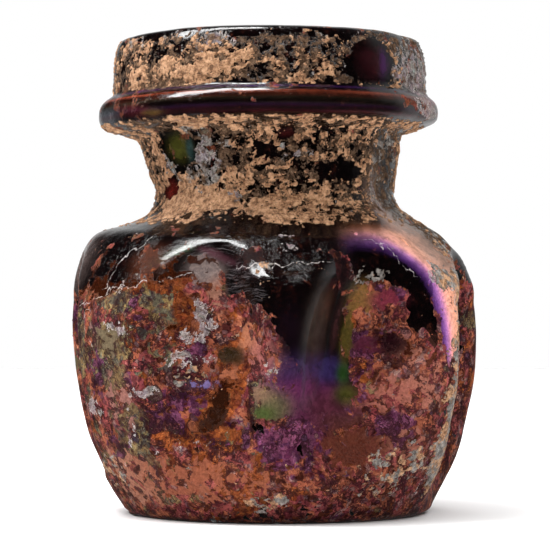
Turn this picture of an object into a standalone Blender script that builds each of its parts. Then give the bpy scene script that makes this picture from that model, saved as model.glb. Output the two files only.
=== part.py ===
"""Dimpled glass jar, blown in one piece.

A folded collar rim stands on a tubular flange, over a short neck and a body whose wall was pressed
in seven times while the glass was soft. The vessel is hollow and open at the top.

Units are metres, +Z is up and the jar stands on z = 0. Azimuths are in degrees, 0 at the front
(towards -Y) and growing towards +X.
"""

import bmesh
import bpy
import numpy as np

# The axis of the jar stands a little off the middle of its box, which is the origin.
AXIS_X = -0.00025
AXIS_Y = 0.00136

# Fineness of the mesh: columns around the axis, and rows along each stretch of the wall.
COLUMNS = 76
RIM_ROWS = 21
BODY_ROWS = 22
INNER_ROW_STEP = 2
MOUTH_ROWS = 6

# The outline leans: each row is (left radius, left height, right radius, right height).
# From the crest of the lip, over the collar and the flange, to the narrowest of the neck.
RIM_OUTLINE = (
    (0.02430, 0.0800, 0.02310, 0.0800),
    (0.02545, 0.0796, 0.02415, 0.0796),
    (0.02605, 0.0784, 0.02475, 0.0785),
    (0.02640, 0.0766, 0.02530, 0.0768),
    (0.02665, 0.0740, 0.02550, 0.0740),
    (0.02662, 0.0714, 0.02558, 0.0715),
    (0.02660, 0.0706, 0.02555, 0.0708),
    (0.02725, 0.0700, 0.02620, 0.0701),
    (0.02830, 0.0692, 0.02710, 0.0693),
    (0.02895, 0.0682, 0.02755, 0.0684),
    (0.02910, 0.0670, 0.02765, 0.0673),
    (0.02890, 0.0658, 0.02735, 0.0662),
    (0.02805, 0.0649, 0.02605, 0.0655),
    (0.02620, 0.0643, 0.02390, 0.0649),
    (0.02370, 0.0636, 0.02200, 0.0643),
    (0.02240, 0.0627, 0.02120, 0.0633),
    (0.02165, 0.0606, 0.02095, 0.0608),
    (0.02055, 0.0576, 0.02050, 0.0576),
    (0.01940, 0.0544, 0.02005, 0.0546),
)

# From the narrowest of the neck, over the shoulder and down to the edge of the standing ring.
BODY_OUTLINE = (
    (0.01940, 0.0544, 0.02005, 0.0546),
    (0.01965, 0.0526, 0.02030, 0.0530),
    (0.02050, 0.0508, 0.02120, 0.0514),
    (0.02250, 0.0494, 0.02300, 0.0500),
    (0.02570, 0.0484, 0.02550, 0.0484),
    (0.02835, 0.0477, 0.02790, 0.0469),
    (0.03020, 0.0466, 0.02990, 0.0448),
    (0.03170, 0.0443, 0.03140, 0.0429),
    (0.03270, 0.0412, 0.03260, 0.0400),
    (0.03340, 0.0376, 0.03370, 0.0368),
    (0.03385, 0.0328, 0.03420, 0.0325),
    (0.03350, 0.0270, 0.03430, 0.0270),
    (0.03300, 0.0220, 0.03400, 0.0215),
    (0.03225, 0.0170, 0.03300, 0.0160),
    (0.03115, 0.0124, 0.03220, 0.0115),
    (0.02930, 0.0080, 0.03080, 0.0074),
    (0.02735, 0.0043, 0.02900, 0.0040),
    (0.02580, 0.0019, 0.02740, 0.0016),
    (0.02490, 0.0007, 0.02640, 0.0006),
    (0.02370, 0.0000, 0.02510, 0.0000),
)

# Inside of the neck and the collar, from above the narrowest of the neck to just inside the lip.
MOUTH_OUTLINE = (
    (0.01830, 0.0578, 0.01800, 0.0578),
    (0.01940, 0.0612, 0.01870, 0.0612),
    (0.02100, 0.0640, 0.01980, 0.0642),
    (0.02210, 0.0668, 0.02070, 0.0670),
    (0.02240, 0.0705, 0.02100, 0.0705),
    (0.02230, 0.0755, 0.02110, 0.0755),
    (0.02245, 0.0785, 0.02125, 0.0785),
    (0.02330, 0.0797, 0.02210, 0.0797),
    (0.02430, 0.0800, 0.02310, 0.0800),
)

# The share of the left outline falls off with this power of the way round from the left.
LEFT_FALL_OFF = 2

# In front the shoulder sits lower: by how much, at which height, and over how tall a band.
SHOULDER_SAG = 0.0032
SHOULDER_HEIGHT = 0.0445
SHOULDER_BAND = 0.0042

# The seven dimples: azimuth of the valley, reach of the hollow to its lower and its higher
# azimuth side, swing of the valley in degrees per metre of height, height of its foot, and depth.
DIMPLES = (
    (-14.0, 28.0, 19.0, -200.0, 0.0070, 0.0074),
    (24.0, 21.0, 32.0, 350.0, 0.0070, 0.0078),
    (78.0, 21.0, 21.0, 0.0, 0.0010, 0.0090),
    (127.0, 27.0, 26.0, -200.0, 0.0060, 0.0076),
    (180.0, 26.0, 26.0, 250.0, 0.0060, 0.0072),
    (233.0, 26.0, 26.0, 0.0, 0.0050, 0.0074),
    (277.0, 17.0, 18.0, 0.0, 0.0060, 0.0060),
)
DIMPLE_TOP = 0.0450
DIMPLE_DEEPEST = 0.0310

# How rounded a valley is, and how narrow a dimple gets at the crown of its arch, as shares of the
# dimple's reach.
VALLEY_ROUNDING = 0.12
NARROWEST_ARCH = 0.05

# Between the dimples the wall swells out into lobes, from the shoulder down to this height.
LOBE_SWELL = 0.0012
LOBE_FOOT = 0.0060

# The base: a flat standing ring around a shallow push-up, and the thickness of the glass.
RING_INNER_RADIUS = 0.0195
PUSH_UP_HEIGHT = 0.0024
PUSH_UP_RINGS = (0.66, 0.33)
WALL = 0.0020
FLOOR = 0.0032
HEEL_HEIGHT = 0.0120
INNER_CORNER_HEIGHT = 0.0035

GLASS_COLOUR = (0.130, 0.052, 0.045, 1.0)
GLASS_ROUGHNESS = 0.28


def smooth_path(knots, rows):
    """Rows of a Catmull-Rom curve that passes through the knots, which lie along the first axis."""
    before = 2.0 * knots[0] - knots[1]
    after = 2.0 * knots[-1] - knots[-2]
    padded = np.concatenate([before[None], knots, after[None]])
    place = np.linspace(0.0, len(knots) - 1.0, rows)
    span = np.minimum(place.astype(int), len(knots) - 2)
    part = (place - span).reshape((-1,) + (1,) * (knots.ndim - 1))
    p0, p1, p2, p3 = (padded[span + shift] for shift in range(4))
    bend = 3.0 * (p1 - p2) + p3 - p0
    slope = 2.0 * p0 - 5.0 * p1 + 4.0 * p2 - p3
    return p1 + 0.5 * part * (p2 - p0 + part * (slope + part * bend))


def outline_around(outline, azimuths):
    """Radius and height of each outline row at each azimuth, going over from the left to the right."""
    rows = np.array(outline)[:, None, :]
    leftness = (0.5 - 0.5 * np.sin(np.radians(azimuths))[None, :, None]) ** LEFT_FALL_OFF
    path = leftness * rows[..., 0:2] + (1.0 - leftness) * rows[..., 2:4]
    frontness = np.maximum(np.cos(np.radians(azimuths)), 0.0) ** 2
    band = np.exp(-(((path[..., 1] - SHOULDER_HEIGHT) / SHOULDER_BAND) ** 2))
    path[..., 1] -= SHOULDER_SAG * frontness * band
    return path


def fading_from_deepest(heights, foot):
    """1 at the height where the dimples are deepest, falling to 0 at their tops and at the foot."""
    rise = np.clip((heights - DIMPLE_DEEPEST) / (DIMPLE_TOP - DIMPLE_DEEPEST), 0.0, 1.0)
    fall = np.clip((DIMPLE_DEEPEST - heights) / (DIMPLE_DEEPEST - foot), 0.0, 1.0)
    return (1.0 - rise ** 2) * (1.0 - fall ** 2)


def dimple_depth(azimuths, heights):
    """Depth of all the dimples at each place on the body, with arched tops and narrow valleys."""
    rise = np.clip((heights - DIMPLE_DEEPEST) / (DIMPLE_TOP - DIMPLE_DEEPEST), 0.0, 1.0)
    arch = np.maximum(np.sqrt(1.0 - rise ** 2), NARROWEST_ARCH)
    edge = np.sqrt(1.0 + VALLEY_ROUNDING ** 2) - VALLEY_ROUNDING
    depth = np.zeros_like(heights)
    for valley, reach_down, reach_up, swing, foot, deepest in DIMPLES:
        centre = valley + swing * (heights - DIMPLE_DEEPEST)
        turn = (azimuths - centre + 180.0) % 360.0 - 180.0
        reach = np.where(turn < 0.0, reach_down, reach_up) * arch
        away = np.sqrt((turn / reach) ** 2 + VALLEY_ROUNDING ** 2) - VALLEY_ROUNDING
        across = np.cos(0.5 * np.pi * np.minimum(away / edge, 1.0)) ** 2
        depth += deepest * fading_from_deepest(heights, foot) * across
    return depth


def placed(radii, heights, azimuths):
    """Points in space from radii and heights, with one column for each azimuth."""
    angles = np.radians(azimuths)
    sideways = AXIS_X + radii * np.sin(angles)
    back = AXIS_Y - radii * np.cos(angles)
    return np.stack([sideways, back, heights], axis=-1)


def outward_normals(grid):
    """Unit normals of a grid of points that runs downwards and once around the axis."""
    down = np.gradient(grid, axis=0)
    around = np.roll(grid, -1, axis=1) - np.roll(grid, 1, axis=1)
    normals = np.cross(down, around)
    return normals / np.linalg.norm(normals, axis=-1, keepdims=True)


def outer_wall(azimuths):
    """The outside from the crest of the lip down to the edge of the standing ring."""
    rim = smooth_path(outline_around(RIM_OUTLINE, azimuths), RIM_ROWS)
    body = smooth_path(outline_around(BODY_OUTLINE, azimuths), BODY_ROWS)
    radii = np.concatenate([rim[:-1, :, 0], body[..., 0]])
    heights = np.concatenate([rim[:-1, :, 1], body[..., 1]])
    swell = LOBE_SWELL * fading_from_deepest(heights, LOBE_FOOT)
    return placed(radii + swell - dimple_depth(azimuths, heights), heights, azimuths)


def underside(azimuths):
    """The inner edge of the flat standing ring and the rings of the push-up inside it."""
    shares = np.array((1.0,) + PUSH_UP_RINGS)
    heights = PUSH_UP_HEIGHT * (1.0 - shares ** 2)
    ones = np.ones((1, len(azimuths)))
    return placed(RING_INNER_RADIUS * shares[:, None] * ones, heights[:, None] * ones, azimuths)


def inner_wall(outer, azimuths):
    """The inside of the body, parallel to the outside, then the inside of the neck and the mouth."""
    body = outer[RIM_ROWS - 1:]
    heights = body[..., 2:3]
    wall = WALL + (FLOOR - WALL) * np.clip(1.0 - heights / HEEL_HEIGHT, 0.0, 1.0) ** 2
    parallel = (body - wall * outward_normals(body))[::INNER_ROW_STEP]
    parallel = parallel[parallel[..., 2].min(axis=1) > INNER_CORNER_HEIGHT]
    neck_radius = np.hypot(parallel[0, :, 0] - AXIS_X, parallel[0, :, 1] - AXIS_Y)
    neck = np.stack([neck_radius, parallel[0, :, 2]], axis=-1)
    knots = np.concatenate([neck[None], outline_around(MOUTH_OUTLINE, azimuths)])
    mouth = smooth_path(knots, MOUTH_ROWS + 2)[1:-1]
    return np.concatenate([parallel[::-1], placed(mouth[..., 0], mouth[..., 1], azimuths)])


def add_rings(bm, grid):
    """One ring of vertices for each row of the grid."""
    return [[bm.verts.new(point) for point in row] for row in grid]


def join_rings(bm, ring, following):
    """A band of faces between two rings of vertices."""
    for index in range(len(ring)):
        after = (index + 1) % len(ring)
        bm.faces.new((ring[index], ring[after], following[after], following[index]))


def close_ring(bm, ring, height):
    """A fan of faces from a ring to a point on the axis."""
    centre = bm.verts.new((AXIS_X, AXIS_Y, height))
    for index in range(len(ring)):
        bm.faces.new((ring[index], ring[(index + 1) % len(ring)], centre))


def glass_material():
    """Dark weathered aubergine glass with a brownish patina."""
    material = bpy.data.materials.new("weathered_glass")
    material.use_nodes = True
    shader = material.node_tree.nodes["Principled BSDF"]
    shader.inputs["Base Color"].default_value = GLASS_COLOUR
    shader.inputs["Roughness"].default_value = GLASS_ROUGHNESS
    shader.inputs["Metallic"].default_value = 0.0
    material.diffuse_color = GLASS_COLOUR
    return material


def build_jar():
    """The whole vessel as one closed shell around its open inside."""
    azimuths = np.arange(COLUMNS) * 360.0 / COLUMNS
    outer = outer_wall(azimuths)
    below = underside(azimuths)
    inner_floor = below + np.array((0.0, 0.0, FLOOR))
    inner = inner_wall(outer, azimuths)

    bm = bmesh.new()
    outside = add_rings(bm, np.concatenate([outer, below]))
    inside = add_rings(bm, np.concatenate([inner_floor[::-1], inner]))
    for rings in (outside, inside):
        for ring, following in zip(rings, rings[1:]):
            join_rings(bm, ring, following)
    join_rings(bm, inside[-1], outside[0])
    close_ring(bm, outside[-1], PUSH_UP_HEIGHT)
    close_ring(bm, inside[0], PUSH_UP_HEIGHT + FLOOR)
    bmesh.ops.recalc_face_normals(bm, faces=bm.faces[:])

    mesh = bpy.data.meshes.new("jar")
    bm.to_mesh(mesh)
    bm.free()
    mesh.shade_smooth()
    mesh.materials.append(glass_material())
    jar = bpy.data.objects.new("jar", mesh)
    bpy.context.scene.collection.objects.link(jar)
    return jar


def main():
    for old in list(bpy.data.objects):
        bpy.data.objects.remove(old, do_unlink=True)
    build_jar()


main()
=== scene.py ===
"""Looks of the dimpled glass jar: dark aubergine glass with an iridescent film, a copper-brown
patina and burial earth.

Units are metres, +Z is up and the jar stands on z = 0. Azimuths are in degrees, 0 at the front
(towards -Y) and growing towards +X. Places on the glass are counted in degrees and millimetres.
"""

import bpy
import numpy as np
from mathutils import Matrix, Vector, noise


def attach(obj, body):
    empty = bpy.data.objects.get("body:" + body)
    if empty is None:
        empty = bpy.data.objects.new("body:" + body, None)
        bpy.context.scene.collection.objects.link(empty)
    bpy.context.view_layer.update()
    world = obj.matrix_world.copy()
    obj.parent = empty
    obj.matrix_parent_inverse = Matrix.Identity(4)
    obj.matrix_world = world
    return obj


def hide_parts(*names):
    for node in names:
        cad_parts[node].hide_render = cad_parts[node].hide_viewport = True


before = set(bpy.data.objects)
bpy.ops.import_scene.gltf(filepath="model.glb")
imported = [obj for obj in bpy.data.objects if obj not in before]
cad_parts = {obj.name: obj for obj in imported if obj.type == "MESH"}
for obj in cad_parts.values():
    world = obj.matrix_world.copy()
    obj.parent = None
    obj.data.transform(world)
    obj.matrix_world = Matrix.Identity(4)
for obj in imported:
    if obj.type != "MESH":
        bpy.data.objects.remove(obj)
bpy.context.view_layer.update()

# ---------------------------------------------------------------- form of the glass
AXIS_X = -0.00025
AXIS_Y = 0.00136

COLUMNS = 440
ROW_SPACING = 0.00060
PATH_SAMPLES = 900
INNER_ROW_STEP = 5
MOUTH_ROWS = 14

# Outlines in hundredths of a millimetre: radius and height on the left of the jar and on its right.
# The rim's and the body's run down the outside, and the mouth's runs up the inside.
RIM_OUTLINE = (
    (2430, 8000, 2310, 8000), (2545, 7960, 2415, 7960), (2605, 7840, 2475, 7850),
    (2640, 7660, 2530, 7680), (2665, 7400, 2550, 7400), (2662, 7140, 2558, 7150),
    (2660, 7060, 2555, 7080), (2725, 7000, 2620, 7010), (2830, 6920, 2710, 6930),
    (2895, 6820, 2755, 6840), (2910, 6700, 2765, 6730), (2890, 6580, 2735, 6620),
    (2805, 6490, 2605, 6550), (2620, 6430, 2390, 6490), (2370, 6360, 2200, 6430),
    (2240, 6270, 2120, 6330), (2165, 6060, 2095, 6080), (2055, 5760, 2050, 5760),
    (1940, 5440, 2005, 5460),
)
BODY_OUTLINE = (
    (1940, 5440, 2005, 5460), (1965, 5260, 2030, 5300), (2050, 5080, 2120, 5140),
    (2250, 4940, 2300, 5000), (2570, 4840, 2550, 4840), (2835, 4770, 2790, 4690),
    (3020, 4660, 2990, 4480), (3170, 4430, 3140, 4290), (3270, 4120, 3260, 4000),
    (3340, 3760, 3370, 3680), (3385, 3280, 3420, 3250), (3350, 2700, 3430, 2700),
    (3300, 2200, 3400, 2150), (3225, 1700, 3300, 1600), (3115, 1240, 3220, 1150), (2930, 800, 3080, 740),
    (2735, 430, 2900, 400), (2580, 190, 2740, 160), (2490, 70, 2640, 60), (2370, 0, 2510, 0),
)
MOUTH_OUTLINE = (
    (1830, 5780, 1800, 5780), (1940, 6120, 1870, 6120), (2100, 6400, 1980, 6420),
    (2210, 6680, 2070, 6700), (2240, 7050, 2100, 7050), (2230, 7550, 2110, 7550),
    (2245, 7850, 2125, 7850), (2330, 7970, 2210, 7970), (2430, 8000, 2310, 8000),
)
LEFT_FALL_OFF = 2
SHOULDER_SAG = 0.0032
SHOULDER_HEIGHT = 0.0445
SHOULDER_BAND = 0.0042

# Each dimple: azimuth of its valley where it is deepest, reach to the left and right, swing of the
# valley in degrees for each metre upwards, height of its foot, and depth.
DIMPLES = (
    (-14, 28, 19, -200, 0.0070, 0.0074),
    (24, 21, 32, 350, 0.0070, 0.0078),
    (78, 21, 21, 0, 0.0010, 0.0090),
    (127, 27, 26, -200, 0.0060, 0.0076),
    (180, 26, 26, 250, 0.0060, 0.0072),
    (233, 26, 26, 0, 0.0050, 0.0074),
    (277, 17, 18, 0, 0.0060, 0.0060),
)
DIMPLE_TOP = 0.0450
DIMPLE_DEEPEST = 0.0310
VALLEY_ROUNDING = 0.12
NARROWEST_ARCH = 0.05
TOP_SOFTNESS = 1.35
LOBE_SWELL = 0.0012
LOBE_FOOT = 0.0060
# The roll around each dimple's arched top: how far out it lies and its half width, in the dimple's
# own size, where it begins on the way up, its height, and the depth of the dimple that has it.
BROW_PLACE = 0.93
BROW_WIDTH = 0.40
BROW_START = (0.30, 0.60)
BROW_RISE = 0.0005
BROW_DIMPLE = 0.0070

RING_INNER_RADIUS = 0.0195
PUSH_UP_HEIGHT = 0.0024
PUSH_UP_RINGS = (0.92, 0.84, 0.72, 0.58, 0.42, 0.26, 0.12)
WALL = 0.0020
FLOOR = 0.0032
HEEL_HEIGHT = 0.0120
INNER_CORNER_HEIGHT = 0.0035
SCAR_RADIUS = 0.0052
SCAR_WIDTH = 0.0010
SCAR_HEIGHT = 0.0004
SCAR_SHARE = 0.8
SCAR_LUMPS = 0.002

# Coarse and fine unevenness of the outside: height and width of its swells.
BLOWN_WAVES = (0.00010, 0.011)
WEATHERED_WAVES = (0.00003, 0.0028)

# Earth on the glass: height of its edge, further rise inwards, how fast that comes, its least share
# and what lumps add, and how deep the skin is sunk where there is none.
CRUST_STEP = 0.00005
CRUST_RISE = 0.00018
CRUST_STEEPNESS = 2.5
CRUST_LEAST = 0.55
CRUST_LUMPS = 0.9
CRUST_SINK = 0.00012
THICKNESS_GAIN = 2.2
CRUST_SPACING = 0.00020
BODY_CRUST_SPACING = 1.15 * CRUST_SPACING
CRUST_COLUMNS = 830
BODY_CRUST_COLUMNS = 900
# Its patches are wider than high, with coarsely and finely broken edges.
CRUST_STREAK = (1.0, 1.0, 1.45)
COARSE_BREAK = 0.62
COARSE_SIZE = 0.0034
FINE_SIZE = 0.0011
LUMP_SIZE = 0.0009
# Where each crust runs, in rows of the outlines.
COLLAR_ROWS = (0.4, 6.7)
NECK_ROWS = (6.2, 18.0)
SHOULDER_ROWS = (0.0, 6.5)
LOWER_ROWS = (4.0, 18.4)
NO_PLACES = np.empty(0)


def smooth_path(knots, places):
    """Points of a Catmull-Rom curve through the knots, at places counted in knots from the first."""
    before = 2.0 * knots[0] - knots[1]
    after = 2.0 * knots[-1] - knots[-2]
    padded = np.concatenate([before[None], knots, after[None]])
    span = np.minimum(places.astype(int), len(knots) - 2)
    part = (places - span).reshape((-1,) + (1,) * (knots.ndim - 1))
    p0, p1, p2, p3 = (padded[span + shift] for shift in range(4))
    bend = 3.0 * (p1 - p2) + p3 - p0
    slope = 2.0 * p0 - 5.0 * p1 + 4.0 * p2 - p3
    return p1 + 0.5 * part * (p2 - p0 + part * (slope + part * bend))


def outline_around(outline, azimuths):
    """Radius and height of each outline row at each azimuth."""
    rows = np.array(outline)[:, None, :] / 100000.0
    leftness = (0.5 - 0.5 * np.sin(np.radians(azimuths))[None, :, None]) ** LEFT_FALL_OFF
    path = leftness * rows[..., 0:2] + (1.0 - leftness) * rows[..., 2:4]
    frontness = np.maximum(np.cos(np.radians(azimuths)), 0.0) ** 2
    band = np.exp(-(((path[..., 1] - SHOULDER_HEIGHT) / SHOULDER_BAND) ** 2))
    path[..., 1] -= SHOULDER_SAG * frontness * band
    return path


def even_places(outline, first, last, spacing):
    """Places along the front of an outline, in rows, that lie the spacing apart."""
    fine = np.linspace(first, last, PATH_SAMPLES)
    path = smooth_path(outline_around(outline, np.zeros(1)), fine)[:, 0]
    run = np.concatenate([[0.0], np.cumsum(np.linalg.norm(np.diff(path, axis=0), axis=1))])
    return np.interp(np.linspace(0.0, run[-1], int(run[-1] / spacing) + 2), run, fine)


def stepped(values, low, high):
    """0 below low, 1 above high and a smooth rise between them."""
    share = np.clip((values - low) / (high - low), 0.0, 1.0)
    return share * share * (3.0 - 2.0 * share)


def between(values, rise, fall):
    """1 between a rise and a fall, each given by its start and its end, and 0 outside."""
    return stepped(values, *rise) * (1.0 - stepped(values, *fall))


def rise_to_top(heights):
    """0 up to the height where the dimples are deepest, growing to 1 at their tops."""
    return np.clip((heights - DIMPLE_DEEPEST) / (DIMPLE_TOP - DIMPLE_DEEPEST), 0.0, 1.0)


def fading_from_deepest(heights, foot):
    """1 at the height where the dimples are deepest, falling to 0 at their tops and at the foot."""
    fall = np.clip((DIMPLE_DEEPEST - heights) / (DIMPLE_DEEPEST - foot), 0.0, 1.0)
    return (1.0 - rise_to_top(heights) ** 2) ** TOP_SOFTNESS * (1.0 - fall ** 2)


def turned_from(azimuths, middle):
    """Turn from the middle to the azimuths, from -180 to 180 degrees."""
    return (azimuths - middle + 180.0) % 360.0 - 180.0


def rounded_bump(share):
    """1 where the share is 0, falling smoothly to 0 where it is 1 or -1."""
    return np.cos(0.5 * np.pi * share) ** 2


def dimple_depth(azimuths, heights):
    """Depth of the dimples, with arched tops and narrow valleys, less the rolls around their tops."""
    rise = rise_to_top(heights)
    arch = np.maximum(np.sqrt(1.0 - rise ** 2), NARROWEST_ARCH)
    edge = np.sqrt(1.0 + VALLEY_ROUNDING ** 2) - VALLEY_ROUNDING
    depth = np.zeros_like(heights)
    for valley, reach_left, reach_right, swing, foot, deepest in DIMPLES:
        turn = turned_from(azimuths, valley + swing * (heights - DIMPLE_DEEPEST))
        reach = np.where(turn < 0.0, reach_left, reach_right) * arch
        away = np.sqrt((turn / reach) ** 2 + VALLEY_ROUNDING ** 2) - VALLEY_ROUNDING
        depth += deepest * fading_from_deepest(heights, foot) * rounded_bump(np.minimum(away / edge, 1.0))
        turn = (turn - 0.5 * (reach_right - reach_left)) / (0.5 * (reach_right + reach_left))
        off_brow = np.clip((np.hypot(turn, rise) - BROW_PLACE) / BROW_WIDTH, -1.0, 1.0)
        brow = rounded_bump(off_brow) * stepped(rise, *BROW_START)
        depth -= BROW_RISE * (deepest / BROW_DIMPLE) * brow
    return depth


def placed(radii, heights, azimuths):
    """Points at the radii and heights, with one column for each azimuth."""
    angles = np.radians(azimuths)
    sideways = AXIS_X + radii * np.sin(angles)
    back = AXIS_Y - radii * np.cos(angles)
    return np.stack([sideways, back, heights], axis=-1)


def from_axis(points):
    """Distance of each point from the jar's axis."""
    return np.hypot(points[..., 0] - AXIS_X, points[..., 1] - AXIS_Y)


def outward_normals(grid):
    """Unit normals of a grid of points that runs downwards and once around the axis."""
    down = np.gradient(grid, axis=0)
    around = np.roll(grid, -1, axis=1) - np.roll(grid, 1, axis=1)
    normals = np.cross(down, around)
    return normals / np.linalg.norm(normals, axis=-1, keepdims=True)


def outer_wall(azimuths, rim_places, body_places):
    """The outside at places along the rim's outline, then along the body's."""
    rim = smooth_path(outline_around(RIM_OUTLINE, azimuths), rim_places)
    body = smooth_path(outline_around(BODY_OUTLINE, azimuths), body_places)
    radii = np.concatenate([rim[..., 0], body[..., 0]])
    heights = np.concatenate([rim[..., 1], body[..., 1]])
    swell = LOBE_SWELL * fading_from_deepest(heights, LOBE_FOOT)
    return placed(radii + swell - dimple_depth(azimuths, heights), heights, azimuths)


def underside(azimuths):
    """The inner edge of the flat standing ring and the rings of the push-up inside it."""
    shares = np.array((1.0,) + PUSH_UP_RINGS)
    heights = PUSH_UP_HEIGHT * (1.0 - shares ** 2)
    ones = np.ones((1, len(azimuths)))
    return placed(RING_INNER_RADIUS * shares[:, None] * ones, heights[:, None] * ones, azimuths)


def inner_wall(body, azimuths):
    """The inside of the body, parallel to its outside, then that of the neck and the mouth."""
    heights = body[..., 2:3]
    wall = WALL + (FLOOR - WALL) * np.clip(1.0 - heights / HEEL_HEIGHT, 0.0, 1.0) ** 2
    parallel = (body - wall * outward_normals(body))[::INNER_ROW_STEP]
    parallel = parallel[parallel[..., 2].min(axis=1) > INNER_CORNER_HEIGHT]
    neck = np.stack([from_axis(parallel[0]), parallel[0, :, 2]], axis=-1)
    knots = np.concatenate([neck[None], outline_around(MOUTH_OUTLINE, azimuths)])
    places = np.linspace(0.0, len(knots) - 1.0, MOUTH_ROWS + 2)[1:-1]
    mouth = smooth_path(knots, places)
    return np.concatenate([parallel[::-1], placed(mouth[..., 0], mouth[..., 1], azimuths)])


def wandering(points, size, octaves=4, shift=0.0, calm=0.9):
    """Noise around zero at each point, with its largest swells about size metres across."""
    flat = np.asarray(points).reshape(-1, 3) / size + shift
    values = [noise.fractal(place, calm, 2.0, octaves) for place in flat.tolist()]
    return np.array(values).reshape(np.shape(points)[:-1])


def weathered(grid):
    """The outside with the slight waves of blown glass and fine weathering."""
    (blown_height, blown_size), (fine_height, fine_size) = BLOWN_WAVES, WEATHERED_WAVES
    waves = blown_height * wandering(grid, blown_size, 2, 3.0)
    waves = waves + fine_height * wandering(grid, fine_size, 2, 9.0)
    return grid + waves[..., None] * outward_normals(grid)


def mesh_object(name, points, faces, material, fields):
    """A smooth piece that rides on the jar's body, with a colour attribute for each field."""
    mesh = bpy.data.meshes.new(name)
    mesh.from_pydata(points, [], faces)
    for label, values in fields.items():
        layer = mesh.color_attributes.new(label, "FLOAT_COLOR", "POINT")
        padded = np.ones((len(values), 4))
        padded[:, :values.shape[1]] = values
        layer.data.foreach_set("color", padded.ravel())
    mesh.shade_smooth()
    mesh.materials.append(material)
    piece = bpy.data.objects.new(name, mesh)
    bpy.context.scene.collection.objects.link(piece)
    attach(piece, "root")
    return piece


def band_faces(rows, columns):
    """Quads of a grid of rows that closes around the axis."""
    row, column = np.meshgrid(np.arange(rows - 1), np.arange(columns), indexing="ij")
    after = (column + 1) % columns
    corners = (row * columns + column, row * columns + after, (row + 1) * columns + after,
               (row + 1) * columns + column)
    return np.stack(corners, axis=-1).reshape(-1, 4)[:, ::-1]


# ---------------------------------------------------------------- what covers the glass
# Places are ovals: azimuth, height, half width, half height, strength and, for one that leans, its
# turn in degrees. Widths are in millimetres at this radius.
SPOT_RADIUS = 30.0
# Places fade out between these shares of their half sizes.
SPOT_EDGE = (0.55, 1.35)
# Edges are torn by noise of this size: how far, in degrees and in height.
TORN_SIZE = 0.0042
TORN_AZIMUTH = 2.4
TORN_HEIGHT = 0.0010

BARE = (
    (0, 39.5, 7.5, 5.5, 0.7), (7, 31.5, 3, 5, 0.75), (15, 30, 4.6, 9, 0.9), (16.5, 22.5, 5, 5.5, 0.9),
    (35, 43.5, 7.5, 2.4, 0.3, -8), (45.5, 36, 2, 8, 0.75, 8), (34, 40.6, 8, 1.8, 0.6),
    (34, 34, 4, 4.6, -0.85), (21.5, 31, 1.2, 6, 0.3, -10), (-20.5, 38.5, 2.8, 4.4, -0.8),
    (-38, 40.5, 9, 2.8, -0.3), (-38, 42, 2.6, 2, -0.55), (-5, 42, 2.8, 2, -1.2),
    (22.4, 40.4, 1.7, 3.4, -1.2, 8), (-46, 40.8, 3.6, 2, 0.5),
)
SILVER = (
    (-21.5, 33, 2.2, 3.2, 0.42, -10), (-25, 29.6, 3, 1.6, 0.38, -20), (-28.5, 26, 1.8, 2.2, 0.36),
    (-45.5, 31.8, 3, 1.5, 0.42, -10), (-46, 37.2, 3, 1.2, 0.3), (-37.5, 20.8, 3.6, 0.9, 0.4),
    (5, 45, 2, 2.6, 0.3), (52.5, 39.8, 3, 2, 0.42, -40), (-1, 25, 1.5, 1.2, 0.36),
    (-22, 26, 2.6, 1.2, 0.34), (-45, 16, 1.2, 5, 0.26), (-30, 12, 8, 0.7, 0.25, 12),
    (-22, 77.2, 5, 1.6, 0.3), (-31, 58.5, 4, 4, 0.36), (-43, 53.4, 8, 1.2, 0.3),
    (-22, 52.8, 4, 1.2, 0.45), (-52, 58, 5, 4, 0.26), (4.5, 60.3, 0.9, 0.9, 0.55),
    (14, 59.4, 2.6, 0.5, 0.4), (54.5, 53, 0.9, 3, 0.5, 15), (66, 74, 9, 5, 0.38), (72, 68, 9, 2.6, 0.8),
    (120, 31, 4, 2, 0.42, -20), (172, 24, 3, 3, 0.4), (200, 10, 5, 1.2, 0.38, 10),
    (248, 29, 3, 2.4, 0.42), (286, 33, 4, 1.4, 0.4), (300, 18, 3, 1.6, 0.38),
)
PURPLE = (
    (-29, 18.5, 4.6, 3.6, 0.46), (-24, 27.2, 2.2, 1.6, 0.7), (17, 21, 9, 7, 0.35, -10),
    (31, 28.5, 2, 3, 0.8), (38, 28.6, 2.2, 2, 0.85), (38.6, 15.8, 2.8, 2.6, 0.8), (3, 12.5, 5, 3, 0.45),
    (-6, 14, 12, 3.5, 0.2), (10, 15, 6, 4, 0.32), (10, 8.5, 9, 1.6, 0.3, -6),
    (-39.4, 34.5, 1.4, 2.4, 0.55), (37, 36.5, 2.8, 1.6, 0.4), (-41, 22.5, 1.4, 2.4, 0.45),
    (-56, 24, 3, 5, 0.45), (-52, 12, 4, 3, 0.4), (126, 14, 7, 5, 0.55), (162, 30, 5, 6, 0.6),
    (208, 18, 7, 5, 0.5), (262, 33, 7, 3, 0.55), (74, 20, 4, 6, 0.45),
)
GREEN = (
    (-46.5, 36, 4.4, 1.8, 0.55), (-49, 28.6, 4.6, 3.4, 0.5), (-49, 23.5, 2.6, 3, 0.6),
    (-32.6, 33.8, 1.8, 3.4, 0.75), (-2.5, 20.5, 3.4, 3.2, 0.42), (-2.4, 17.8, 1.8, 1.2, 0.6),
    (-22, 40.8, 3, 2, 0.35), (-42, 15, 2.4, 4.5, 0.42), (33, 22, 1.6, 1.4, 0.5), (8, 10.5, 9, 1.4, 0.25),
    (-46, 10, 5, 3, 0.22), (98, 33, 5, 3, 0.55), (140, 26, 4, 7, 0.55, 15), (192, 31, 8, 4, 0.6),
    (243, 20, 5, 6, 0.55), (290, 28, 5, 5, 0.55),
)
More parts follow.
